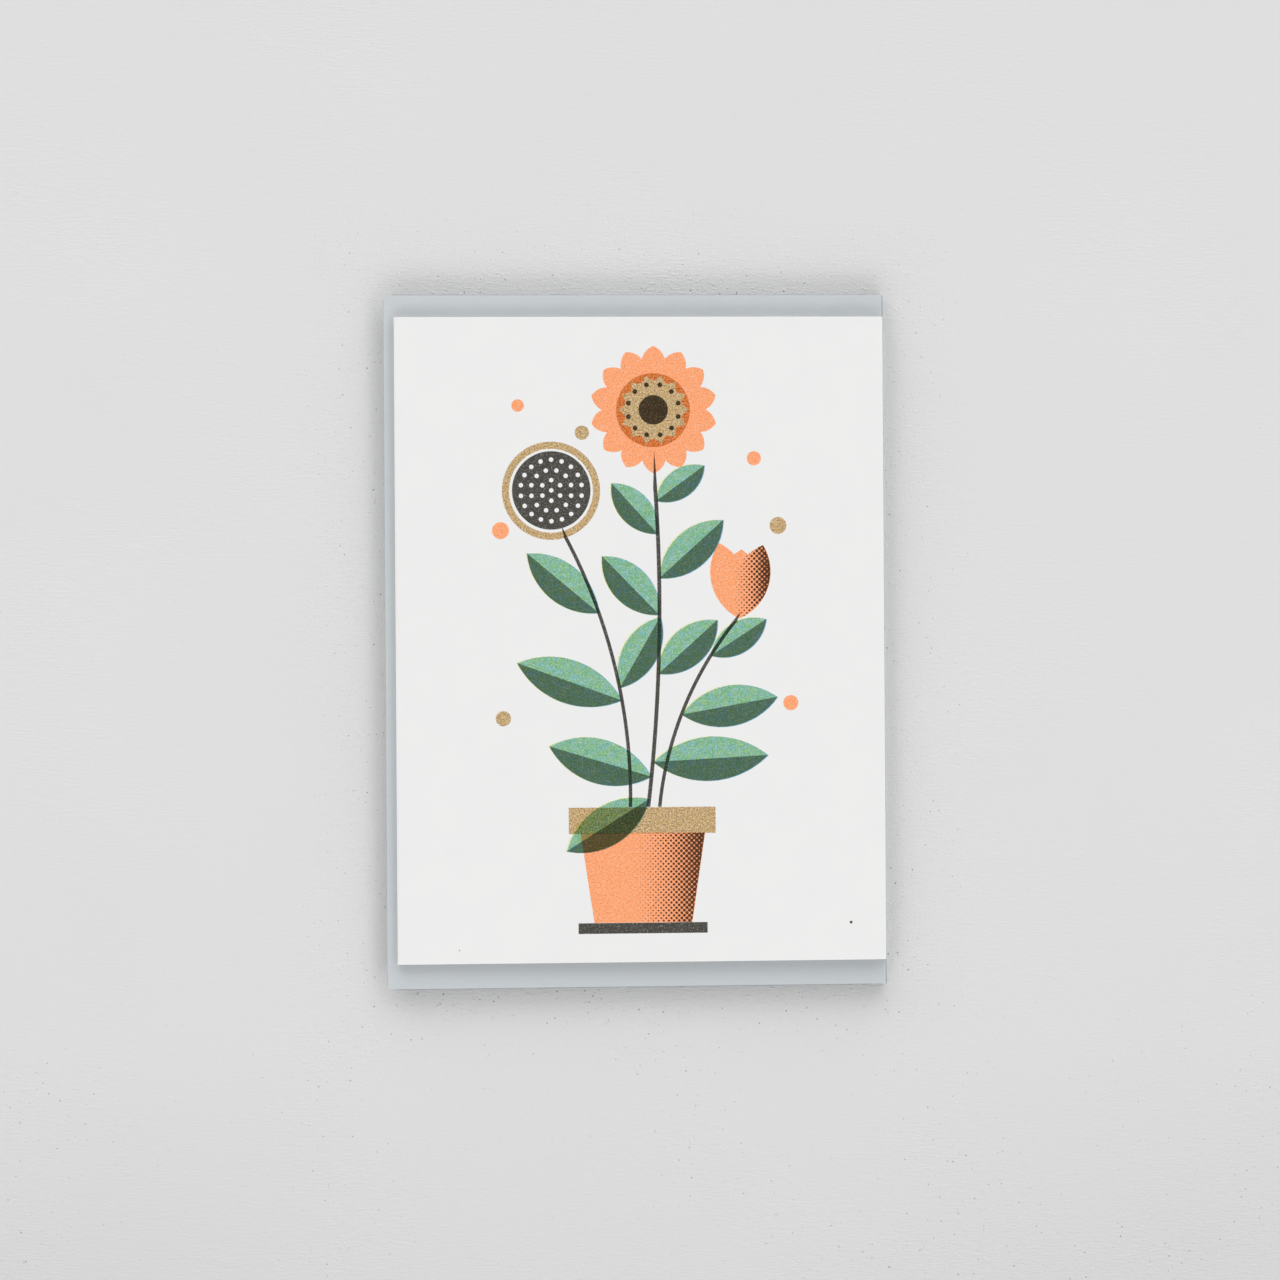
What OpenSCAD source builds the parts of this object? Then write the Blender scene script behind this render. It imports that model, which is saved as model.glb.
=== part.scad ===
// Folded greeting card lying closed on its empty envelope, with the card's fold at the left.
// Millimetres. The origin is the middle of the envelope's footprint, on the surface it lies on.
// +X points to the card's free edge, +Y to its top edge and +Z out of its front.

/* [Card] */
// Width of the closed card, from its fold to its free edge
card_w = 110; // [70:0.5:180]
// Height of the card
card_h = 145; // [90:0.5:240]
// Thickness of the card stock
stock_t = 0.4; // [0.25:0.01:0.6]
// Space left between the two leaves of the closed card
leaf_gap = 0.15; // [0.05:0.01:1]
// How far the front leaf stops short of the back leaf at the free edge
front_short = 0.1; // [0:0.1:3]

/* [Card on its envelope] */
// How far the card's free edge lies in from the envelope's seal fold
card_inset = 0.1; // [0:0.1:2]
// How far the card lies above the middle of the envelope
card_rise = 0.3; // [-4:0.1:4]
// Clearance between sheets that lie loose on each other
lay_gap = 0.05; // [0.02:0.01:0.3]

/* [Envelope] */
// Room left in the envelope across the card's width
slack_w = 2.5; // [1:0.1:10]
// Room left in the envelope along the card's height
slack_h = 10.7; // [2:0.1:20]
// Thickness of the envelope paper
paper_t = 0.15; // [0.08:0.01:0.25]
// Height of the empty pocket between the face and the side flaps
pocket_gap = 1.5; // [0.1:0.05:2.5]

/* [Back panel] */
// Distance from the seal fold's outer edge to the throat edge of the back panel
throat_depth = 20; // [10:0.5:30]
// How far the back panel stops short of the envelope's short sides
back_inset = 1; // [0.5:0.1:5]
// Radius of the back panel's corners at the throat
throat_r = 10; // [2:0.5:20]

/* [Side flaps] */
// Depth of the side flaps, from the short sides inwards
side_depth = 24; // [18:0.5:40]
// How far the side flaps start from the back panel's fold
side_relief = 1; // [0.5:0.1:8]
// How far the side flaps end from the seal flap's fold
throat_relief = 2.5; // [1:0.1:8]
// How much each end of a side flap slants in over its depth
side_slant = 8; // [1:0.5:20]

/* [Seal flap] */
// Depth of the seal flap, from its fold's outer edge to its tip
flap_depth = 62; // [45:0.5:90]
// How far the flap's shoulders lie in from the envelope's short sides
shoulder = 0.1; // [0:0.1:10]
// Radius of the flap's rounded tip
tip_r = 16; // [12:0.5:30]

/* [Gum and glue] */
// Width of the gum band along the seal flap's edges
gum_w = 7; // [3:0.5:11]
// Distance from the flap's edge to the gum band
gum_margin = 3; // [1:0.5:4]
// Thickness of the dry gum
gum_t = 0.03; // [0.01:0.01:0.05]
// Width of the glue in a side seam
glue_w = 9; // [4:0.5:12]
// Distance from the glue to the edges of the sheets that it joins
glue_margin = 3; // [1:0.5:5]
// Thickness of the dry glue
glue_t = 0.03; // [0.01:0.01:0.05]

/* [Folds] */
// Clearance between a round fold and the ends of the sheets that turn on it
fold_clear = 0.03; // [0.01:0.01:0.08]

/* [Hidden] */
$fn = 48;
STOCK_WHITE = [0.93, 0.93, 0.93];
PAPER_GREY = [0.75, 0.78, 0.79];
GUM_CLEAR = [0.80, 0.80, 0.76];
GLUE_PALE = [0.86, 0.84, 0.76];

// The envelope is cut to the card and its slack
env_w = card_w + slack_w;
env_h = card_h + slack_h;

// Heights of the sheets, from the surface up: seal flap, back panel, side flaps, face, card
back_z = paper_t + gum_t + lay_gap;
glue_z = back_z + paper_t;
side_z = glue_z + glue_t;
face_z = side_z + paper_t + pocket_gap;
face_top = face_z + paper_t;
card_z = face_top + lay_gap;
front_z = card_z + stock_t + leaf_gap;

// Outer radius of each fold, half the height of the sheets that it goes round
back_fold_r = (face_top - back_z) / 2;
side_fold_r = (face_top - side_z) / 2;
seal_fold_r = face_top / 2;
card_fold_r = (front_z + stock_t - card_z) / 2;

// Lines that the sheets fold on
back_fold_x = -env_w / 2 + back_fold_r;
side_fold_y = env_h / 2 - side_fold_r;
seal_fold_x = env_w / 2 - seal_fold_r;
card_fold_x = env_w / 2 - card_inset - card_w + card_fold_r;
card_fold_z = card_z + card_fold_r;

// Ends of the envelope's sheets along the folds
back_half_h = env_h / 2 - back_inset;
throat_x = env_w / 2 - throat_depth;
side_x0 = back_fold_x + side_relief;
side_x1 = seal_fold_x - throat_relief;
flap_half_h = env_h / 2 - shoulder;

// The seal flap's edges run from its shoulders, tangent to the circle of its tip
tip_x = env_w / 2 - flap_depth + tip_r;
shoulder_dx = seal_fold_x - tip_x;
shoulder_far = norm([shoulder_dx, flap_half_h]);
edge_angle = atan2(flap_half_h, shoulder_dx) + acos(tip_r / shoulder_far);
edge_normal = [cos(edge_angle), sin(edge_angle)];
tip_steps = 20;

// A flat sheet: a drawn outline at height z, given its thickness
module sheet(z, thickness) {
    translate([0, 0, z]) linear_extrude(thickness) children();
}

// A rectangle between two corners
module rectangle(low, high) {
    translate(low) square(high - low);
}

// A round rod along Y
module rod(x, z, radius, length) {
    translate([x, 0, z]) rotate([90, 0, 0]) cylinder(r = radius, h = length, center = true);
}

// Paper folded back on itself: a half tube along Y whose open side faces +X
module folded_paper(radius, length) {
    difference() {
        rod(0, 0, radius, length);
        rod(0, 0, radius - paper_t, 2 * length);
        translate([0, -length, -radius]) cube([radius, 2 * length, 2 * radius]);
    }
}

// One leaf of the card, from the fold's centre line to its free edge, hollowed to seat on the fold
module card_leaf(z, free_x) {
    translate([0, card_rise, 0]) difference() {
        sheet(z, stock_t) rectangle([card_fold_x, -card_h / 2], [free_x, card_h / 2]);
        rod(card_fold_x, card_fold_z, card_fold_r + fold_clear, 2 * card_h);
    }
}

module card_back() {
    color(STOCK_WHITE) card_leaf(card_z, env_w / 2 - card_inset);
}

module card_front() {
    color(STOCK_WHITE) card_leaf(front_z, env_w / 2 - card_inset - front_short);
}

module card_fold() {
    color(STOCK_WHITE) translate([0, card_rise, 0]) rod(card_fold_x, card_fold_z, card_fold_r, card_h);
}

// Room for the seal fold in the sheets that end on it
module seal_fold_seat() {
    rod(seal_fold_x, seal_fold_r, seal_fold_r + fold_clear, 2 * env_h);
}

module envelope_face() {
    color(PAPER_GREY) difference() {
        sheet(face_z, paper_t) rectangle([back_fold_x, -side_fold_y], [seal_fold_x, side_fold_y]);
        seal_fold_seat();
    }
}

module back_fold() {
    color(PAPER_GREY) translate([back_fold_x, 0, back_z + back_fold_r])
        folded_paper(back_fold_r, 2 * back_half_h);
}

// The back panel is square at its fold and has round corners at the throat
module back_panel() {
    color(PAPER_GREY) sheet(back_z, paper_t) {
        rectangle([back_fold_x, -back_half_h], [throat_x - throat_r, back_half_h]);
        rectangle([back_fold_x, throat_r - back_half_h], [throat_x, back_half_h - throat_r]);
        for (side = [-1, 1])
            translate([throat_x - throat_r, side * (back_half_h - throat_r)]) circle(throat_r);
    }
}

module side_fold() {
    color(PAPER_GREY) translate([(side_x0 + side_x1) / 2, side_fold_y, side_z + side_fold_r])
        rotate([0, 0, -90]) folded_paper(side_fold_r, side_x1 - side_x0);
}

module side_flap() {
    tip_y = env_h / 2 - side_depth;
    color(PAPER_GREY) sheet(side_z, paper_t) polygon([
        [side_x0, side_fold_y], [side_x0 + side_slant, tip_y],
        [side_x1 - side_slant, tip_y], [side_x1, side_fold_y]
    ]);
}

// Glue lies along the back panel's edge, clear of the side flap's slanted end and the throat's corner
module seam_glue() {
    glue_y = back_half_h - glue_margin;
    color(GLUE_PALE) sheet(glue_z, glue_t) rectangle(
        [side_x0 + side_slant + glue_margin, glue_y - glue_w],
        [throat_x - throat_r - glue_margin, glue_y]
    );
}

// The same piece at the other short side
module at_bottom() {
    mirror([0, 1, 0]) children();
}

module seal_fold() {
    color(PAPER_GREY) rod(seal_fold_x, seal_fold_r, seal_fold_r, 2 * flap_half_h);
}

// The seal flap's outline, drawn a given distance in from its slanted edges and tip
module flap_outline(inset) {
    shoulder_at = [seal_fold_x, flap_half_h] - inset * edge_normal;
    tip_arc = [
        for (i = [0:tip_steps])
            let (a = edge_angle + (360 - 2 * edge_angle) * i / tip_steps)
                [tip_x, 0] + (tip_r - inset) * [cos(a), sin(a)]
    ];
    polygon(concat([shoulder_at], tip_arc, [[shoulder_at.x, -shoulder_at.y]]));
}

module seal_flap() {
    color(PAPER_GREY) difference() {
        sheet(0, paper_t) flap_outline(0);
        seal_fold_seat();
    }
}

// The gum band follows the flap's edges where they lie over the back panel
module seal_gum() {
    color(GUM_CLEAR) sheet(paper_t, gum_t) intersection() {
        difference() {
            flap_outline(gum_margin);
            flap_outline(gum_margin + gum_w);
        }
        rectangle([-env_w / 2, -env_h / 2], [throat_x - gum_margin, env_h / 2]);
    }
}

card_front();
card_back();
card_fold();
envelope_face();
back_panel();
side_flap();  // side_flap_top
at_bottom() side_flap();  // side_flap_bottom
seal_flap();
back_fold();
side_fold();  // side_fold_top
at_bottom() side_fold();  // side_fold_bottom
seal_fold();
seam_glue();  // seam_glue_top
at_bottom() seam_glue();  // seam_glue_bottom
seal_gum();
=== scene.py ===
import math

import bmesh
import bpy
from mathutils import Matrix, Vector
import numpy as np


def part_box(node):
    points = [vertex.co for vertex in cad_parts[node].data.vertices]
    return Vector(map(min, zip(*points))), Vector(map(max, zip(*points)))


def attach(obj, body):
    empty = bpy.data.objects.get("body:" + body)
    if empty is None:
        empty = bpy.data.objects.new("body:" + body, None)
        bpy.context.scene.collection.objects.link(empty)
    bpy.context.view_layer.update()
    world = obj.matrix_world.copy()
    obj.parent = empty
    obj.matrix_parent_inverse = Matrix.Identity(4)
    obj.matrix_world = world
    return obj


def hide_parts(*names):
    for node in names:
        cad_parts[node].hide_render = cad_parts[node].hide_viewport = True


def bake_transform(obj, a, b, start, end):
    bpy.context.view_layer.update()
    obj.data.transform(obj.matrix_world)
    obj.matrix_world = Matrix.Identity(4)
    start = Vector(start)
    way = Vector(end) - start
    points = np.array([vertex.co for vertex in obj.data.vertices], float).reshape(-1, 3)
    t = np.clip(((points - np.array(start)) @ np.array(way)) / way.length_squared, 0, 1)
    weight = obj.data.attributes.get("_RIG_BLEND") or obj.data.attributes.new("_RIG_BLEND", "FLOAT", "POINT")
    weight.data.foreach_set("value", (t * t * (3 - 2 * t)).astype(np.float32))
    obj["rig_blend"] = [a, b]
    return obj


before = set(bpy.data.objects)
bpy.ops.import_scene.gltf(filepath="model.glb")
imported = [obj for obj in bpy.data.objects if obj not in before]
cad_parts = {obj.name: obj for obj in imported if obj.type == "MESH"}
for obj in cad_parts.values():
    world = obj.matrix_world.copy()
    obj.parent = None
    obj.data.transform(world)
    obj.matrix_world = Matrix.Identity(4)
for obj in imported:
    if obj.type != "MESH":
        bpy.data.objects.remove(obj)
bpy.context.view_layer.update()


# Envelope body
# One sheet of grey-blue wove paper, die-cut and scored. The back panel folds over from the left long side
# and a flap folds in from each short side; glue between the flaps and the panel makes the pocket.
MM = 0.001
face_low, face_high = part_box("envelope_face")
panel_low, panel_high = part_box("back_panel")
flap_low, flap_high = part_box("side_flap_top")
seal_low, seal_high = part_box("seal_fold")
PAPER = face_high.z - face_low.z
CREASE_R = 0.09 * MM
EDGE_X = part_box("back_fold")[0].x + CREASE_R + PAPER / 2
EDGE_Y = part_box("side_fold_top")[1].y - CREASE_R - PAPER / 2
SEAL_X = (seal_low.x + seal_high.x) / 2
SEAL_Z = (seal_low.z + seal_high.z) / 2
FACE_Z = (face_low.z + face_high.z) / 2
PANEL_Z = (panel_low.z + panel_high.z) / 2
FLAP_Z = (flap_low.z + flap_high.z) / 2
THROAT_R = 10 * MM
FLAP_SLANT = 8 * MM
BACK_SLOPE = 3 * MM
SIDE_SLOPE = 4 * MM
CORNER_R = 1.0 * MM
FOLD_STEPS, THROAT_STEPS, CORNER_STEPS = 10, 12, 4
MESH_PITCH = 6 * MM
BESIDE_FOLD = 0.12 * MM
TOUCHING = 0.01 * MM
SHARP_EDGE = math.radians(50)
SMOOTH_EDGE = math.radians(20)
PAPER_WAVE = 0.06 * MM
WAVE_FADE = 4 * MM
WAVE_ACROSS, WAVE_ALONG, WAVE_SKEW = 9 * MM, 13 * MM, 31 * MM
# Painted shade round the folds' creases: how far round a crease it grows, how much more gradually round the
# back fold, and its tint
CREASE_SHADE_SPAN = 0.06 * MM
BACK_FOLD_SHADE_SHARE = 0.25
FIBRE_RELIEF = 0.012 * MM
PAPER_DARK, PAPER_LIGHT, PAINTED_CREASE_SHADE = (195, 200, 204), (206, 211, 214), (120, 126, 131)


def flat_sheet(name, x_range, y_range, z):
    """Add a flat sheet between two x and two y values, and start to shape it."""
    bpy.ops.object.select_all(action="DESELECT")
    bpy.ops.mesh.primitive_plane_add(size=1, location=(sum(x_range) / 2, sum(y_range) / 2, z))
    sheet = bpy.context.object
    sheet.name = name
    sheet.data.name = name
    sheet.scale = (x_range[1] - x_range[0], y_range[1] - y_range[0], 1)
    bpy.ops.object.transform_apply(location=True, rotation=True, scale=True)
    bpy.ops.object.mode_set(mode="EDIT")
    return sheet


def near(value, target):
    return abs(value - target) < TOUCHING


def rise(distance, span):
    """Nothing at no distance, growing evenly to 1 at the whole span."""
    return min(1, max(0, distance / span))


def pick(kind, test):
    """Select only the corners or edges whose middle passes a test."""
    bpy.ops.mesh.select_mode(type=kind)
    bpy.ops.mesh.select_all(action="DESELECT")
    mesh = bpy.context.object.data
    shape = bmesh.from_edit_mesh(mesh)
    for item in shape.verts if kind == "VERT" else shape.edges:
        corners = [item] if kind == "VERT" else item.verts
        if test(sum((c.co for c in corners), Vector()) / len(corners)):
            item.select_set(True)
    shape.select_flush_mode()
    bmesh.update_edit_mesh(mesh)


def cut_across(axis, places):
    """Cut the whole sheet with planes across x (axis 0) or y (axis 1)."""
    normal = [float(i == axis) for i in range(3)]
    for place in places:
        bpy.ops.mesh.select_all(action="SELECT")
        bpy.ops.mesh.bisect(plane_co=[place * n for n in normal], plane_no=normal, threshold=1e-7)


def even_cuts(low, high, pitch):
    count = round((high - low) / pitch)
    return [low + (high - low) * i / count for i in range(1, count)]


def give_thickness(sheet, thickness, edge_round=0.0):
    """Turn the drawn sheet into paper of its real thickness, with softened cut edges."""
    bpy.ops.mesh.select_all(action="SELECT")
    bpy.ops.mesh.normals_make_consistent(inside=False)
    bpy.ops.object.mode_set(mode="OBJECT")
    solid = sheet.modifiers.new("thickness", "SOLIDIFY")
    solid.thickness = thickness
    solid.offset = 0
    solid.use_even_offset = True
    bpy.ops.object.modifier_apply(modifier=solid.name)
    if edge_round:
        bevel = sheet.modifiers.new("cut_edges", "BEVEL")
        bevel.width = edge_round
        bevel.segments = 2
        bevel.limit_method = "ANGLE"
        bevel.angle_limit = SHARP_EDGE
        bpy.ops.object.modifier_apply(modifier=bevel.name)
    bpy.ops.object.shade_smooth_by_angle(angle=SMOOTH_EDGE)


# Each fold is a tight crease at the height of the face, and the paper under it slopes in to its level
envelope = flat_sheet("envelope_sheet", (EDGE_X, SEAL_X), (-EDGE_Y, EDGE_Y), FACE_Z)
cut_across(0, (flap_low.x, flap_high.x))
cut_across(1, (panel_low.y, panel_high.y))
pick("EDGE", lambda m: near(m.x, EDGE_X) and panel_low.y < m.y < panel_high.y)
bpy.ops.mesh.spin(steps=FOLD_STEPS, angle=math.pi, center=(EDGE_X, 0, FACE_Z - CREASE_R), axis=(0, 1, 0))
bpy.ops.mesh.extrude_region_move(
    TRANSFORM_OT_translate={"value": (BACK_SLOPE, 0, PANEL_Z - FACE_Z + 2 * CREASE_R)}
)
bpy.ops.mesh.extrude_region_move(
    TRANSFORM_OT_translate={"value": (panel_high.x - EDGE_X - BACK_SLOPE, 0, 0)}
)
pick("VERT", lambda m: near(m.x, panel_high.x) and near(m.z, PANEL_Z))
bpy.ops.mesh.bevel(offset=THROAT_R, segments=THROAT_STEPS, affect="VERTICES")
flap_length = flap_high.x - flap_low.x
flap_reach = EDGE_Y - flap_low.y
slant_part = FLAP_SLANT * SIDE_SLOPE / flap_reach
narrowed = (flap_length - 2 * FLAP_SLANT) / (flap_length - 2 * slant_part)
middle = ((flap_low.x + flap_high.x) / 2, 0, FLAP_Z)
for end in (1, -1):
    pick("EDGE", lambda m: near(m.y, end * EDGE_Y) and flap_low.x < m.x < flap_high.x and near(m.z, FACE_Z))
    bpy.ops.mesh.spin(
        steps=FOLD_STEPS, angle=math.pi, center=(0, end * EDGE_Y, FACE_Z - CREASE_R), axis=(end, 0, 0)
    )
    bpy.ops.mesh.extrude_region_move(
        TRANSFORM_OT_translate={"value": (0, -end * SIDE_SLOPE, FLAP_Z - FACE_Z + 2 * CREASE_R)}
    )
    bpy.ops.transform.resize(value=(1 - 2 * slant_part / flap_length, 1, 1), center_override=middle)
    bpy.ops.mesh.extrude_region_move(
        TRANSFORM_OT_translate={"value": (0, -end * (flap_reach - SIDE_SLOPE), 0)}
    )
    bpy.ops.transform.resize(value=(narrowed, 1, 1), center_override=middle)
pick("VERT", lambda m: near(m.x, EDGE_X) and near(abs(m.y), EDGE_Y) and near(m.z, FACE_Z))
bpy.ops.mesh.bevel(offset=CORNER_R, segments=CORNER_STEPS, affect="VERTICES")
beside_ends = (BESIDE_FOLD - EDGE_Y, EDGE_Y - BESIDE_FOLD)
cut_across(0, (EDGE_X + BESIDE_FOLD, *even_cuts(flap_low.x, flap_high.x, MESH_PITCH)))
cut_across(1, (*beside_ends, *even_cuts(panel_low.y, panel_high.y, MESH_PITCH)))

# The face isn't quite flat: shallow waves that die out towards its folds
for corner in bmesh.from_edit_mesh(envelope.data).verts:
    x, y, z = corner.co
    inside = rise(EDGE_Y - abs(y), WAVE_FADE) * rise(x - EDGE_X, WAVE_FADE) * rise(SEAL_X - x, WAVE_FADE)
    wave = 0.5 + 0.3 * math.sin(x / WAVE_ACROSS + 1.3) + 0.2 * math.sin(y / WAVE_ALONG + x / WAVE_SKEW)
    if near(z, FACE_Z):
        corner.co.z -= PAPER_WAVE * wave * inside
bmesh.update_edit_mesh(envelope.data)
give_thickness(envelope, PAPER)


class Wire:
    """A socket in a material. Sums on it add Math nodes, and node() adds a node of any other kind."""

    def __init__(self, tree, socket=None):
        self.tree = tree
        self.socket = socket

    def node(self, kind, settings=None, sockets=None, output=0):
        made = self.tree.nodes.new("ShaderNode" + kind)
        for name, value in (settings or {}).items():
            setattr(made, name, value)
        for name, value in (sockets or {}).items():
            if isinstance(value, Wire):
                self.tree.links.new(value.socket, made.inputs[name])
            else:
                made.inputs[name].default_value = value
        return Wire(self.tree, made.outputs[output] if made.outputs else None)

    def math(self, operation, *others, clamp=False):
        sockets = dict(enumerate((self, *others)))
        return self.node("Math", {"operation": operation, "use_clamp": clamp}, sockets)

    def __add__(self, other):
        return self.math("ADD", other)

    __radd__ = __add__

    def __sub__(self, other):
        return self.math("SUBTRACT", other)

    def __rsub__(self, other):
        return self.node("Math", {"operation": "SUBTRACT"}, {0: other, 1: self})

    def __mul__(self, other):
        return self.math("MULTIPLY", other)

    __rmul__ = __mul__

    def __truediv__(self, other):
        return self.math("DIVIDE", other)

    def least(self, other):
        return self.math("MINIMUM", other)

    def most(self, other):
        return self.math("MAXIMUM", other)

    def vector(self, operation, other=None, output=0):
        sockets = {0: self} if other is None else {0: self, 1: other}
        return self.node("VectorMath", {"operation": operation}, sockets, output)

    def noise(self, scale, detail=2.0, rough=0.5):
        sockets = {"Vector": self, "Scale": scale, "Detail": detail, "Roughness": rough}
        return self.node("TexNoise", {}, sockets)

    def mix(self, share, first, second, how="MIX"):
        settings = {"data_type": "RGBA", "blend_type": how}
        return self.node("Mix", settings, {0: share, 6: first, 7: second}, output=2)


def shade(*bytes_srgb):
    """A colour, given as it shows on screen, as the linear colour of a shader."""
    linear = [c / 255 / 12.92 if c < 10.3 else ((c / 255 + 0.055) / 1.055) ** 2.4 for c in bytes_srgb]
    return (*linear, 1)


def start_material(name):
    material = bpy.data.materials.new(name)
    material.use_nodes = True
    material.node_tree.nodes.clear()
    return material, Wire(material.node_tree)


def close_material(wire, sockets):
    wire.node("OutputMaterial", {}, {"Surface": wire.node("BsdfPrincipled", {}, sockets)})


def millimetres(wire):
    """Object coordinates, in millimetres."""
    place = wire.node("TexCoord", output=3)
    return place.vector("MULTIPLY", (1000, 1000, 1000))


def fibres(place, turn, scale):
    """Long thin streaks of pulp, laid at an angle."""
    sockets = {"Vector": place, "Rotation": (0, 0, math.radians(turn)), "Scale": (0.25, 2.2, 1.0)}
    return place.node("Mapping", {}, sockets).noise(scale, 3.0, 0.6)


def bump(height, distance, strength=1.0):
    return height.node("Bump", {}, {"Strength": strength, "Distance": distance, "Height": height})


def mark_crease_shade(sheet, past_fold):
    """Note which points lie round a crease, where shade is painted into the paper's colour."""
    sheet.data.attributes.new("crease", "FLOAT", "POINT")
    for point, mark in zip(sheet.data.vertices, sheet.data.attributes["crease"].data):
        mark.value = rise(past_fold(point.co), CREASE_SHADE_SPAN)


# Painted shade goes round the creases of the side folds, and grows more gradually round the back fold
mark_crease_shade(envelope, lambda p: max(abs(p.y) - EDGE_Y, (EDGE_X - p.x) * BACK_FOLD_SHADE_SHARE))
wove_paper, wire = start_material("envelope_paper")
place = millimetres(wire)
streaks = fibres(place, 24, 1.4) + fibres(place, -58, 1.1)
cloud = place.noise(0.22, 2.0)
tooth = place.noise(3.2, 2.0)
mottle = (streaks - 1) * 0.35 + (cloud - 0.5) * 0.4 + (tooth - 0.5) * 0.25
depth = mottle.math("MULTIPLY_ADD", 1.0, 0.5, clamp=True)
paper_colour = wire.mix(depth, shade(*PAPER_DARK), shade(*PAPER_LIGHT))
# Painted shade: the paper darkens towards a grey-blue tint round its fold creases, so the fold edges read as
# dark lines
crease_shade_share = wire.node("Attribute", {"attribute_name": "crease"}, output=2)
close_material(wire, {
    "Base Color": wire.mix(crease_shade_share * 0.85, paper_colour, shade(*PAINTED_CREASE_SHADE)),
    "Roughness": 0.9 - 0.12 * tooth,
    "Specular IOR Level": 0.25,
    "Normal": bump(streaks * 0.5 + tooth, FIBRE_RELIEF),
})
envelope.data.materials.append(wove_paper)
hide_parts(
    "envelope_face", "back_panel", "side_flap_top", "side_flap_bottom",
    "back_fold", "side_fold_top", "side_fold_bottom",
)
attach(envelope, "envelope")


# Seal flap
# The pointed flap of the same sheet, with a rounded tip. It is folded under from the right long side along
# a scored line, and it is not yet gummed down, so it swings open round that fold.
tip_low, tip_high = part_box("seal_flap")
SEAL_FLAP_Z = (tip_low.z + tip_high.z) / 2
TIP_R = 16 * MM
TIP_STEPS = 24
FOLD_SQUARE = 5
SHADE_FROM_EDGE, SHADE_OVER_AXIS = 0.3 * MM, 0.5 * MM
reach = Vector((SEAL_X - tip_low.x - TIP_R, seal_high.y))
edge_turn = math.atan2(reach.y, reach.x) + math.acos(TIP_R / reach.length)
POINT_X = tip_low.x + TIP_R + TIP_R / math.cos(edge_turn)
point_cut = TIP_R / abs(math.tan(edge_turn - math.pi / 2))

seal_flap = flat_sheet("seal_flap_sheet", (POINT_X, SEAL_X), (seal_low.y, seal_high.y), SEAL_FLAP_Z)
pick("VERT", lambda m: near(m.x, POINT_X))
bpy.ops.mesh.merge(type="CENTER")
pick("VERT", lambda m: near(m.x, POINT_X))
bpy.ops.mesh.bevel(offset=point_cut, segments=TIP_STEPS, affect="VERTICES")
pick("EDGE", lambda m: near(m.x, SEAL_X))
bpy.ops.mesh.spin(steps=2 * FOLD_STEPS, angle=math.pi, center=(SEAL_X, 0, SEAL_Z), axis=(0, 1, 0))

# The fold is fuller than a half circle, since the paper turns sharply at its two scored edges
for corner in bmesh.from_edit_mesh(seal_flap.data).verts:
    out, up = corner.co.x - SEAL_X, corner.co.z - SEAL_Z
    if out > TOUCHING:
        square = (abs(out) ** FOLD_SQUARE + abs(up) ** FOLD_SQUARE) ** (1 / FOLD_SQUARE)
        fuller = math.hypot(out, up) / square
        corner.co.x = SEAL_X + out * fuller
        corner.co.z = SEAL_Z + up * fuller
bmesh.update_edit_mesh(seal_flap.data)
cut_across(0, even_cuts(tip_low.x, SEAL_X, MESH_PITCH))
cut_across(1, even_cuts(seal_low.y, seal_high.y, MESH_PITCH))
give_thickness(seal_flap, PAPER)
# Painted shade round the upper outer scored edge of the seal fold
mark_crease_shade(
    seal_flap, lambda p: min(p.x - seal_high.x + SHADE_FROM_EDGE, p.z - SEAL_Z - SHADE_OVER_AXIS)
)
seal_flap.data.materials.append(wove_paper)
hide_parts("seal_flap", "seal_fold")
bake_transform(seal_flap, "envelope", "seal_flap", start=(0, 0, face_low.z), end=(0, 0, tip_high.z))


# Glue and gum
# Dried seam glue joins the side flaps to the back panel. A brushed band of remoistenable gum follows the
# edges of the seal flap: a thin clear film with a slight gloss and fine brush lines.
GLUE_DARK, GLUE_LIGHT = (206, 203, 190), (222, 220, 210)
GUM_DARK, GUM_LIGHT = (180, 184, 182), (196, 199, 196)
BRUSH_RELIEF = 0.01 * MM

seam_glue, wire = start_material("seam_glue")
place = millimetres(wire)
cloud = place.noise(0.6, 3.0)
close_material(wire, {
    "Base Color": wire.mix(cloud, shade(*GLUE_DARK), shade(*GLUE_LIGHT)),
    "Roughness": 0.45 + 0.3 * cloud,
})
for name in ("seam_glue_top", "seam_glue_bottom"):
    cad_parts[name].material_slots[0].material = seam_glue

gum_film, wire = start_material("seal_gum")
place = millimetres(wire)
brushed = fibres(place, 48, 2.0)
cloud = place.noise(0.35, 3.0)
close_material(wire, {
    "Base Color": wire.mix(cloud, shade(*GUM_DARK), shade(*GUM_LIGHT)),
    "Roughness": 0.22 + 0.25 * brushed,
    "Normal": bump(brushed, BRUSH_RELIEF, 0.6),
})
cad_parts["seal_gum"].material_slots[0].material = gum_film


# Card
# One sheet of thick uncoated white stock, scored and folded once at the left. The front leaf is cut a
# little short of the back one and gapes slightly, since new card springs back from its fold.
front_low, front_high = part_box("card_front")
leaf_low, leaf_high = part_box("card_back")
spine_low, spine_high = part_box("card_fold")
STOCK = leaf_high.z - leaf_low.z
SPINE_X = (spine_low.x + spine_high.x) / 2
SPINE_Z = (spine_low.z + spine_high.z) / 2
BACK_Z = (leaf_low.z + leaf_high.z) / 2
CARD_MID = ((spine_low.x + leaf_high.x) / 2, (leaf_low.y + leaf_high.y) / 2)
GAPE = math.radians(0.12)
SPINE_STEPS, CARD_CORNER_STEPS = 14, 3
CARD_CORNER_R = 0.3 * MM
CARD_BOW = 0.08 * MM
CUT_EDGE = 0.1 * MM
STOCK_RELIEF = 0.006 * MM
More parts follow.
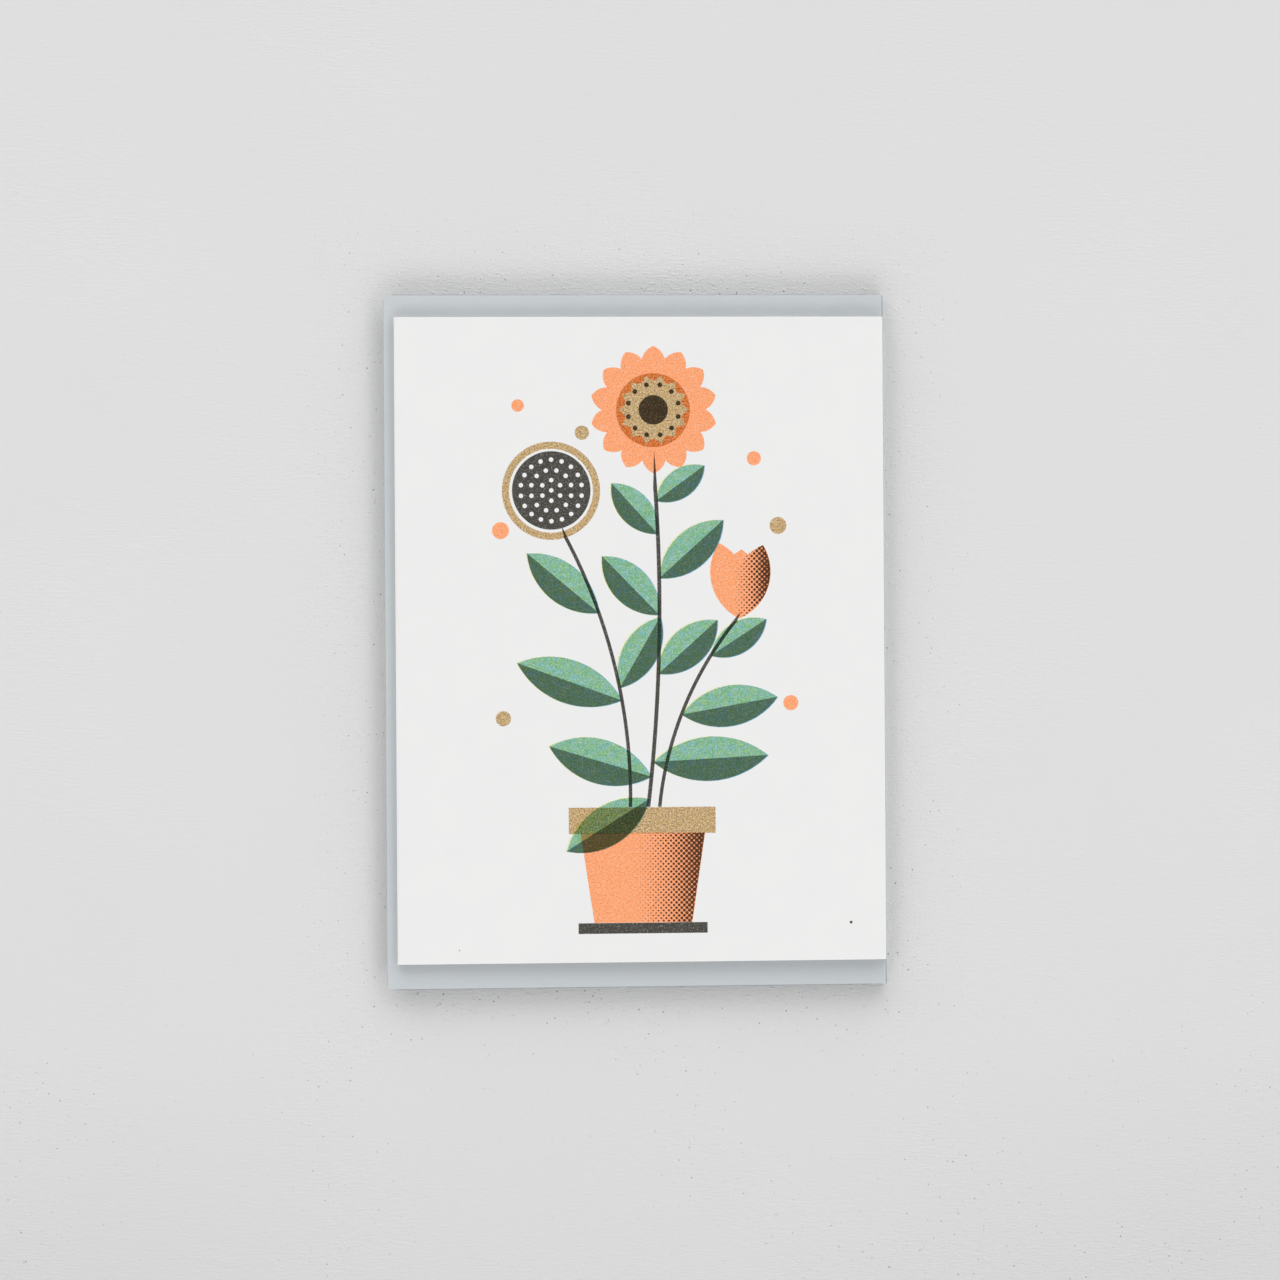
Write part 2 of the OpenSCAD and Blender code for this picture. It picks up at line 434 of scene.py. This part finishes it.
STOCK_DARK, STOCK_LIGHT, PAINTED_EDGE_SHADE = (234.5, 234.5, 234.5), (238.5, 238.5, 237.5), (100, 99, 101)
front_span = front_high.x - SPINE_X

card = flat_sheet("card_sheet", (SPINE_X, leaf_high.x), (leaf_low.y, leaf_high.y), BACK_Z)
pick("EDGE", lambda m: near(m.x, SPINE_X))
bpy.ops.mesh.spin(
    steps=SPINE_STEPS, angle=math.pi - GAPE, center=(SPINE_X, 0, SPINE_Z), axis=(0, -1, 0)
)
bpy.ops.mesh.extrude_region_move(
    TRANSFORM_OT_translate={"value": (front_span * math.cos(GAPE), 0, front_span * math.sin(GAPE))}
)
pick("VERT", lambda m: m.x > front_high.x - MM)
bpy.ops.mesh.bevel(offset=CARD_CORNER_R, segments=CARD_CORNER_STEPS, affect="VERTICES")
cut_across(0, (SPINE_X + BESIDE_FOLD, *even_cuts(SPINE_X, front_high.x, MESH_PITCH)))
cut_across(1, even_cuts(leaf_low.y, leaf_high.y, MESH_PITCH))
for corner in bmesh.from_edit_mesh(card.data).verts:
    share = (corner.co.x - SPINE_X) / front_span
    if corner.co.z > SPINE_Z and share > 0:
        upright = (corner.co.y - CARD_MID[1]) / (leaf_high.y - CARD_MID[1])
        corner.co.z += CARD_BOW * (math.sin(math.pi * share) + 0.5 * share * share * upright)
bmesh.update_edit_mesh(card.data)
give_thickness(card, STOCK, CUT_EDGE)

# The front takes most of the card's map, so that the print stays sharp. The plain sides share a strip
# beside it. Each side's place is its left, foot, right and head
MAP_SIDES = {
    "front": (0.003, 0.003, 0.745, 0.997),
    "front_inside": (0.755, 0.003, 0.995, 0.283),
    "back_inside": (0.755, 0.293, 0.995, 0.573),
    "back": (0.755, 0.583, 0.995, 0.863),
    "top": (0.755, 0.873, 0.995, 0.903),
    "bottom": (0.755, 0.911, 0.995, 0.941),
    "free_edges": (0.755, 0.949, 0.995, 0.969),
    "spine": (0.755, 0.977, 0.995, 0.985),
    "spine_inside": (0.755, 0.989, 0.995, 0.997),
}


def card_side(face):
    """The side of the card that a face belongs to, and the two directions it lies in."""
    middle, normal = face.center, face.normal
    if abs(normal.y) > max(abs(normal.x), abs(normal.z)):
        return "top" if normal.y > 0 else "bottom", (0, 2)
    if abs(normal.x) > abs(normal.z):
        at_spine = "spine" if normal.x < 0 else "spine_inside"
        return at_spine if middle.x < SPINE_X + MM else "free_edges", (1, 2)
    upper = middle.z > SPINE_Z
    if normal.z > 0:
        return "front" if upper else "back_inside", (0, 1)
    return "front_inside" if upper else "back", (0, 1)


bake_map = card.data.uv_layers.new(name="OFBake")
sides = {}
for face in card.data.polygons:
    side, ways = card_side(face)
    for loop in face.loop_indices:
        at = card.data.vertices[card.data.loops[loop].vertex_index].co
        sides.setdefault(side, []).append((loop, at[ways[0]], at[ways[1]]))
for side, corners in sides.items():
    left, foot, right, head = MAP_SIDES[side]
    _, wide, high = zip(*corners)
    low_u, low_v = min(wide), min(high)
    across = (right - left) / (max(wide) - low_u)
    up = (head - foot) / (max(high) - low_v)
    for loop, u, v in corners:
        bake_map.data[loop].uv = (left + (u - low_u) * across, foot + (v - low_v) * up)

# Notes on each point, so that the print and the edges stay on their sheet when the card opens: where it lies
# on the front, in millimetres from its middle, whether that side is printed, and how much painted shade a
# cut edge takes
FACES_UP, EDGE_STARTS, EDGE_UPRIGHT = 0.3, 0.45, 0.9
# How much painted shade the rounding and the upright face of a cut edge take
ROUNDED_EDGE_SHADE, UPRIGHT_EDGE_SHADE = 1.0, 0.35
notes = card.data.attributes
notes.new("printed_place", "FLOAT_VECTOR", "POINT")
notes.new("edge_shade", "FLOAT", "POINT")
for point, entry, edge in zip(card.data.vertices, notes["printed_place"].data, notes["edge_shade"].data):
    on_front = point.co.z > SPINE_Z and point.normal.z > FACES_UP and point.co.x > SPINE_X
    entry.vector = ((point.co.x - CARD_MID[0]) / MM, (point.co.y - CARD_MID[1]) / MM, float(on_front))
    outward = max(abs(point.normal.y), point.normal.x)
    if outward >= EDGE_STARTS:
        edge.value = ROUNDED_EDGE_SHADE if outward < EDGE_UPRIGHT else UPRIGHT_EDGE_SHADE

# The print: a potted plant in five flat inks, in millimetres from the middle of the front. Each plate lies a
# little out of register. An ink's lay is its seed, how full it is, its soft mottle and its pinholes
INK_EDGE = 0.1
PULP_SHOWS = 3.4
PLATE_SHIFT = {
    "yellow": (-0.13, 0.02),
    "blue": (0.14, -0.05),
    "orange": (0.08, 0.08),
    "gold": (-0.06, -0.04),
    "black": (0, 0.04),
}
INK_LAY = {
    "yellow": (1, 0.85, 2.4, 0.4),
    "blue": (2, 0.95, 0.55, 0.35),
    "orange": (3, 1.0, 0.3, 0.3),
    "gold": (4, 1.0, 0.3, 0.45),
    "black": (5, 1.0, 0.12, 0.3),
}

# Stems have a foot, a head, a bulge and a width. Leaves have a stem, a share of the way up it, a turn, a
# length and a width
STEMS = (
    ((0.5, -44), (3, 38.5), -2.2, 0.9),
    ((-3, -44), (-17.5, 24.2), -5.0, 0.8),
    ((3.5, -44), (22, 5), 4.5, 0.8),
)
LEAVES = (
    (0, 0.10, 212, 22.0, 9.0),
    (0, 0.16, 163, 24.0, 10.0),
    (0, 0.20, 3, 26.0, 10.0),
    (1, 0.43, 160, 25.0, 9.8),
    (1, 0.47, 60, 18.5, 8.0),
    (2, 0.52, 10, 22.0, 9.2),
    (1, 0.72, 140, 21.0, 8.8),
    (0, 0.44, 42, 18.0, 8.5),
    (0, 0.60, 134, 18.5, 8.5),
    (0, 0.70, 42, 19.5, 8.5),
    (0, 0.82, 132, 15.5, 7.2),
    (0, 0.91, 36, 13.5, 6.5),
    (2, 0.80, 33, 15.0, 7.0),
)
POT_TOP, POT_FOOT, RIM_TOP, SAUCER_FOOT = -43.5, -63.6, -37.6, -66.0
POT_HALF, POT_FLARE, RIM_HALF, SAUCER_HALF = 11.0, 3.0, 16.5, 14.5
BLOOM, BLOOM_R, BLOOM_EYE_R, BLOOM_HEART_R = (3, 51.5), 14.3, 8.3, 3.3
PETALS, PETAL_FOOT, PETAL_WIDTH = 14, 6.5, 5.4
STAMENS, STAMEN_RING, STAMEN_R = 12, 5.8, 0.55
SEED_HEAD, SEED_HEAD_R, SEED_R = (-20, 33.5), 8.8, 0.5
SEED_RINGS = ((2.3, 6), (4.6, 12), (6.9, 18))
HALO_GAP, HALO_HALF = 1.4, 0.8
TULIP_FOOT, TULIP_TIPS = (22, 4.5), ((17.5, 21.5, 8.0), (22.6, 20.0, 9.0), (27.5, 21.0, 8.0))
SCREEN_PITCH = 0.82
POT_SHADE_FROM, POT_SHADE_SPAN, POT_SHADE_FULL = -3, 17, 0.6
CUP_SHADE_FROM, CUP_SHADE_SPAN, CUP_SHADE_FULL = 20, 8, 0.55
UNDERSIDE_FULL = 0.76
ORANGE_DOTS = ((-31.5, 24.5, 1.9), (25.5, 40.5, 1.6), (33.5, -14.5, 1.7), (-27.5, 52.5, 1.4))
GOLD_DOTS = ((-13.0, 46.5, 1.6), (31.0, 25.5, 1.9), (-31.0, -17.5, 1.7))
BLACK_DOTS = ((46.9, -64.0, 0.32), (-41.2, -69.4, 0.12))


def line_frame(start, end):
    """Length, direction, left-hand normal and middle of a line in the print."""
    start, end = Vector(start), Vector(end)
    along = (end - start).normalized()
    return (end - start).length, along, Vector((-along.y, along.x)), (start + end) / 2


def disc(spot, centre, radius):
    """How deep a spot of the print lies inside a disc."""
    return radius - spot.vector("DISTANCE", (*centre, 0), output=1)


def left_of(spot, start, end):
    normal = line_frame(start, end)[2]
    return spot.vector("DOT_PRODUCT", (*normal, 0), output=1) - normal.dot(Vector(start))


def leaf_shape(spot, start, end, width):
    """A pointed leaf: where two equal discs overlap."""
    length, _, normal, middle = line_frame(start, end)
    radius = (length**2 / 4 + width**2 / 4) / width
    shift = normal * (radius - width / 2)
    return disc(spot, middle + shift, radius).least(disc(spot, middle - shift, radius))


def stem_bend(start, end, bulge):
    """Middle and radius of the circle that a stem follows."""
    length, _, normal, middle = line_frame(start, end)
    radius = (length**2 / 4 + bulge**2) / (2 * abs(bulge))
    return middle + normal * (bulge - math.copysign(radius, bulge)), radius


def stem_shape(spot, start, end, bulge, width):
    centre, radius = stem_bend(start, end, bulge)
    ring = width / 2 - disc(spot, centre, radius).math("ABSOLUTE")
    return ring.least(left_of(spot, start, end) if bulge > 0 else left_of(spot, end, start))


def block(spot, low, high, half, flare=0.0):
    """An upright block round the middle line, which may widen towards its top."""
    up = spot.node("SeparateXYZ", {}, {0: spot}, output=1)
    across = spot.node("SeparateXYZ", {}, {0: spot}, output=0)
    width = (up - low) * (flare / (high - low)) + half
    return (width - across.math("ABSOLUTE")).least((up - low).least(high - up))


def round_about(spot, centre, count):
    """Fold the print into one of a number of equal sectors round a centre, with its middle along x."""
    spoke = spot.vector("SUBTRACT", (*centre, 0))
    across, up = (spot.node("SeparateXYZ", {}, {0: spoke}, output=i) for i in (0, 1))
    turn = (up.math("ARCTAN2", across) * (count / math.tau)).math("FRACT") - 0.5
    turn = turn * (math.tau / count)
    far = spoke.vector("LENGTH", output=1)
    return spot.node("CombineXYZ", {}, {0: far * turn.math("COSINE"), 1: far * turn.math("SINE")})


def screen(spot, pitch, size):
    """A dot screen at 45 degrees; size is each dot's radius as a share of the pitch."""
    sockets = {"Vector": spot, "Rotation": (0, 0, math.radians(45)), "Scale": (1 / pitch, 1 / pitch, 0)}
    cell = spot.node("Mapping", {}, sockets).vector("FRACTION").vector("SUBTRACT", (0.5, 0.5, 0))
    return (size - cell.vector("LENGTH", output=1)) * pitch


def union(shapes):
    whole = None
    for shape in shapes:
        whole = shape if whole is None else whole.most(shape)
    return whole


def dots(spot, places):
    return union(disc(spot, (x, y), radius) for x, y, radius in places)


def inked(shape):
    return shape.math("MULTIPLY_ADD", 1 / INK_EDGE, 0.5, clamp=True)


# The base and tip of each leaf, which starts on its stem
grown_leaves = []
for stem, share, turn, length, width in LEAVES:
    start, end, bulge, _ = STEMS[stem]
    _, radius = stem_bend(start, end, bulge)
    span, along, normal, middle = line_frame(start, end)
    off_middle = (share - 0.5) * span
    bowed = math.sqrt(radius**2 - off_middle**2) - radius + abs(bulge)
    base = middle + along * off_middle + normal * math.copysign(bowed, bulge)
    tip = base + Vector((math.cos(math.radians(turn)), math.sin(math.radians(turn)))) * length
    grown_leaves.append((base, tip, width))

card_stock, wire = start_material("card_stock")
sheet_place = wire.node("Attribute", {"attribute_name": "printed_place"}, output=1)
flat = sheet_place.vector("MULTIPLY", (1, 1, 0))
printed = wire.node("SeparateXYZ", {}, {0: sheet_place}, output=2)
plates = {name: flat.vector("SUBTRACT", (*shift, 0)) for name, shift in PLATE_SHIFT.items()}


def grain(ink):
    """The uneven lay of an ink, only on the printed side."""
    seed, full, mottle, pinholes = INK_LAY[ink]
    moved = flat.vector("ADD", (17.3 * seed, -9.1 * seed, 2.7 * seed))
    cloudy = moved.noise(1.0, 3.0, 0.7)
    holes = (moved.noise(3.4, 1.0) - 0.57).math("MULTIPLY", 5.0, clamp=True)
    return (full + (cloudy - 0.5) * mottle - holes * pinholes) * printed


def ring_of_dots(spot, centre, ring, count, radius):
    return radius - round_about(spot, centre, count).vector("DISTANCE", (ring, 0, 0), output=1)


def lower_half(spot, base, tip, width):
    """The half of a leaf that lies under its midrib."""
    start, end = (base, tip) if tip.x < base.x else (tip, base)
    return leaf_shape(spot, base, tip, width).least(left_of(spot, start, end))


spot = plates["yellow"]
yellow = inked(union(leaf_shape(spot, *leaf) for leaf in grown_leaves)) * grain("yellow")

spot = plates["blue"]
blue = inked(union(leaf_shape(spot, *leaf) for leaf in grown_leaves)) * grain("blue")

spot = plates["orange"]
petal = leaf_shape(round_about(spot, BLOOM, PETALS), (PETAL_FOOT, 0), (BLOOM_R, 0), PETAL_WIDTH)
pot = block(spot, POT_FOOT, POT_TOP, POT_HALF, POT_FLARE)
cup = union(leaf_shape(spot, TULIP_FOOT, (x, y), width) for x, y, width in TULIP_TIPS)
orange = inked(union((petal, pot, cup, dots(spot, ORANGE_DOTS)))) * grain("orange")

spot = plates["gold"]
rim = block(spot, POT_TOP, RIM_TOP, RIM_HALF)
halo = HALO_HALF - disc(spot, SEED_HEAD, SEED_HEAD_R + HALO_GAP).math("ABSOLUTE")
eye = disc(spot, BLOOM, BLOOM_EYE_R)
gold = inked(union((rim, halo, dots(spot, GOLD_DOTS), eye))) * grain("gold")

spot = plates["black"]
stalks = union(stem_shape(spot, *stem) for stem in STEMS).least(left_of(spot, (0, RIM_TOP), (1, RIM_TOP)))
seeds = union(ring_of_dots(spot, SEED_HEAD, ring, count, SEED_R) for ring, count in SEED_RINGS)
seeds = seeds.most(disc(spot, SEED_HEAD, SEED_R))
head = disc(spot, SEED_HEAD, SEED_HEAD_R).least(0 - seeds)
stamens = ring_of_dots(spot, BLOOM, STAMEN_RING, STAMENS, STAMEN_R)
heart = disc(spot, BLOOM, BLOOM_HEART_R)
across = spot.node("SeparateXYZ", {}, {0: spot}, output=0)
pot_dark = (across - POT_SHADE_FROM).math("MULTIPLY", POT_SHADE_FULL / POT_SHADE_SPAN, clamp=True)
pot_shade = screen(spot, SCREEN_PITCH, pot_dark).least(block(spot, POT_FOOT, POT_TOP, POT_HALF, POT_FLARE))
cup_dark = (across - CUP_SHADE_FROM).math("MULTIPLY", CUP_SHADE_FULL / CUP_SHADE_SPAN, clamp=True)
x, y, width = TULIP_TIPS[2]
cup_shade = screen(spot, SCREEN_PITCH, cup_dark).least(leaf_shape(spot, TULIP_FOOT, (x, y), width))
saucer = block(spot, SAUCER_FOOT, POT_FOOT, SAUCER_HALF)
specks = dots(spot, BLACK_DOTS)
full_black = inked(union((stalks, head, stamens, heart, pot_shade, cup_shade, saucer, specks)))
undersides = inked(union(lower_half(spot, *leaf) for leaf in grown_leaves))
black = full_black.most(undersides * UNDERSIDE_FULL) * grain("black")

tooth = sheet_place.noise(2.6, 2.0)
cloud = sheet_place.noise(0.12, 2.0)
print_colour = wire.mix(cloud, shade(*STOCK_DARK), shade(*STOCK_LIGHT))

# Each ink's cover, its colour as a filter on the paper, and how much the pulp shows in it
INKS = (
    (yellow, (0.92, 0.945, 0.37, 1), 0.5),
    (blue, (0.25, 0.56, 0.775, 1), 0.5),
    (orange, (1.16, 0.44, 0.20, 1), 0.4),
    (gold, (0.63, 0.428, 0.2, 1), 1.0),
    (black, (0.08, 0.074, 0.063, 1), 0.65),
)
for cover, ink, _ in INKS:
    print_colour = wire.mix(cover, print_colour, ink, "MULTIPLY")
pulp = flat.noise(2.8, 2.0, 0.65)
any_ink = union(cover * pulpy for cover, _, pulpy in INKS)
print_colour = wire.mix(any_ink, print_colour, 1 + (pulp - 0.5) * PULP_SHOWS, "MULTIPLY")
# Painted shade on the cut edges, darkest on their rounded arrises and lighter on their upright faces, draws
# a dark line round the card
edge_shade_share = wire.node("Attribute", {"attribute_name": "edge_shade"}, output=2)
close_material(wire, {
    "Base Color": wire.mix(edge_shade_share, print_colour, shade(*PAINTED_EDGE_SHADE)),
    "Roughness": 0.92 - 0.1 * tooth - 0.12 * black - 0.2 * gold,
    "Specular IOR Level": 0.15,
    "Normal": bump(tooth, STOCK_RELIEF),
})
card.data.materials.append(card_stock)
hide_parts("card_front", "card_back", "card_fold")
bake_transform(card, "card_back", "card_front", start=(0, 0, leaf_high.z), end=(0, 0, front_low.z))


# Floor
# A plain pale painted board, larger than any view takes in. Its paint is brushed, slightly uneven in tone,
# and rougher and more pitted close to the card. Shade is painted into it, darker towards the foot and
# towards the sides lower down. Lengths in its material are in millimetres.
FLOOR_SIZE = 8
BOARD_RELIEF = 0.05 * MM
BOARD_DARK, BOARD_LIGHT, BOARD_FALLOFF_SHADE, PIT_TINT = (221,) * 3, (224,) * 3, (214,) * 3, (110,) * 3
STROKE_TURN, STROKE_STRETCH = 0.04, (0.4, 2.2, 1.0)
PITS_A_MM, PIT_CHANCE, PIT_STEEPNESS = 0.45, 0.67, 8.0
ENVELOPE_HALF_W, ENVELOPE_HALF_H, ROUGH_REACH = 56, 78, 24
FOOT_FROM, FOOT_SPAN = 90, 60
BELOW_FROM, BELOW_SPAN = 70, 30
ASIDE_FROM, ASIDE_SPAN = 30, 90
DIM_FROM, DIM_A_MM = 20, 0.0035

bpy.ops.object.select_all(action="DESELECT")
bpy.ops.mesh.primitive_plane_add(size=FLOOR_SIZE, location=(0, 0, 0))
floor = bpy.context.object
floor.name = "floor"
board, wire = start_material("painted_board")
place = millimetres(wire)
brushed = {"Vector": place, "Rotation": (0, 0, STROKE_TURN), "Scale": STROKE_STRETCH}
strokes = wire.node("Mapping", {}, brushed).noise(0.9, 3.0, 0.6)
grit = place.noise(2.2, 3.0, 0.6)
cloud = place.noise(0.02, 2.0)
patchy = (place.noise(0.018, 3.0) - 0.42).math("MULTIPLY", 4.0, clamp=True)

down = 0 - wire.node("SeparateXYZ", {}, {0: place}, output=1)
out = wire.node("SeparateXYZ", {}, {0: place}, output=0).math("ABSOLUTE")
below_card = (down - BELOW_FROM).math("MULTIPLY", 1 / BELOW_SPAN, clamp=True)
toward_foot = (down - FOOT_FROM).math("MULTIPLY", 1 / FOOT_SPAN, clamp=True)
aside = (out - ASIDE_FROM).math("MULTIPLY", 1 / ASIDE_SPAN, clamp=True)
beyond = (out - ENVELOPE_HALF_W).most(down.math("ABSOLUTE") - ENVELOPE_HALF_H)
near_card = (ROUGH_REACH - beyond).math("MULTIPLY", 1 / ROUGH_REACH, clamp=True)
busy = patchy * (0.15 + 0.6 * below_card) + near_card * 0.85

# A pit lies in the middle of some cells of a cell pattern, by the cell's own chance
cells = {"Vector": place, "Scale": PITS_A_MM}
from_middle = wire.node("TexVoronoi", {"voronoi_dimensions": "2D"}, cells) / PITS_A_MM
cell_colour = wire.node("TexVoronoi", {"voronoi_dimensions": "2D"}, cells, output=1)
chance = wire.node("SeparateColor", {}, {0: cell_colour}, output=2)
pit_size = (chance - PIT_CHANCE) * (0.3 + 0.1 * below_card + 0.55 * busy)
pits = (pit_size - from_middle).math("MULTIPLY", PIT_STEEPNESS, clamp=True)
marks = (place.noise(0.9, 2.0, 0.6) - 0.6).math("MULTIPLY", 8.0, clamp=True) * busy
brushwork = (strokes + grit * 0.4) * (0.5 + patchy + toward_foot + 0.7 * near_card)
relief = brushwork + grit * near_card * 1.5 - pits + marks * 1.8

# Painted shade: the board darkens towards the foot, and towards the sides lower down
painted_falloff = toward_foot * 0.7 + aside * (down - DIM_FROM).math("MULTIPLY", DIM_A_MM, clamp=True)
board_colour = wire.mix(cloud, shade(*BOARD_DARK), shade(*BOARD_LIGHT))
board_colour = wire.mix(painted_falloff, board_colour, shade(*BOARD_FALLOFF_SHADE))
close_material(wire, {
    "Base Color": wire.mix(pits * 0.7, board_colour, shade(*PIT_TINT)),
    "Roughness": 0.9,
    "Specular IOR Level": 0.0,
    "Normal": bump(relief, BOARD_RELIEF),
})
floor.data.materials.append(board)


# Studio light
# Four wide softboxes round the table, the strongest low behind the card's top edge, and a weak light from
# above. They give thin sheets the broad soft shadows of the photograph. The camera sees a plain backdrop.
FROM_ABOVE = 0.2
BACKDROP = (222, 222, 222)

world = bpy.data.worlds.new("studio")
bpy.context.scene.world = world
world.use_nodes = True
world.node_tree.nodes.clear()
wire = Wire(world.node_tree)
toward = wire.node("TexCoord", output=0)
across, along, height = (wire.node("SeparateXYZ", {}, {0: toward}, output=i) for i in range(3))
level = (across * across + along * along).most(0.0001)


def softbox(side, strength, middle, spread):
    """Light from one side, round a middle height, which fades to its sides and up and down."""
    facing = side.most(0)
    off_middle = (height - middle) / spread
    return facing * facing / level * (0 - off_middle * off_middle).math("EXPONENT") * strength


right_box = softbox(across, strength=1.92, middle=0.43, spread=0.21)
left_box = softbox(0 - across, strength=1.42, middle=0.66, spread=0.16)
head_box = softbox(along, strength=7.78, middle=0.16, spread=0.27)
foot_box = softbox(0 - along, strength=5.4, middle=0.295, spread=0.176)
light = right_box + left_box + head_box + foot_box + height * FROM_ABOVE
above = height.math("GREATER_THAN", 0.0)
dome = wire.node("Background", {}, {"Color": (1, 1, 1, 1), "Strength": light * above})
backdrop = wire.node("Background", {}, {"Color": shade(*BACKDROP), "Strength": 1.0})
seen = wire.node("LightPath", output=0)
wire.node("OutputWorld", {}, {"Surface": wire.node("MixShader", {}, {0: seen, 1: dome, 2: backdrop})})
bpy.context.scene.view_settings.view_transform = "Standard"


# Camera
# It looks almost straight down with a short telephoto lens, from a little left of the card's middle, as the
# photograph was taken.
CAMERA_AT = (-33.82 * MM, 1.04 * MM, 680.77 * MM)
CAMERA_TURN = (-0.053, -2.93, -0.367)

bpy.ops.object.camera_add(location=CAMERA_AT, rotation=[math.radians(turn) for turn in CAMERA_TURN])
camera = bpy.context.object
camera.data.lens = 85
camera.data.sensor_width = 36
camera.data.clip_start = 0.01
bpy.context.scene.camera = camera
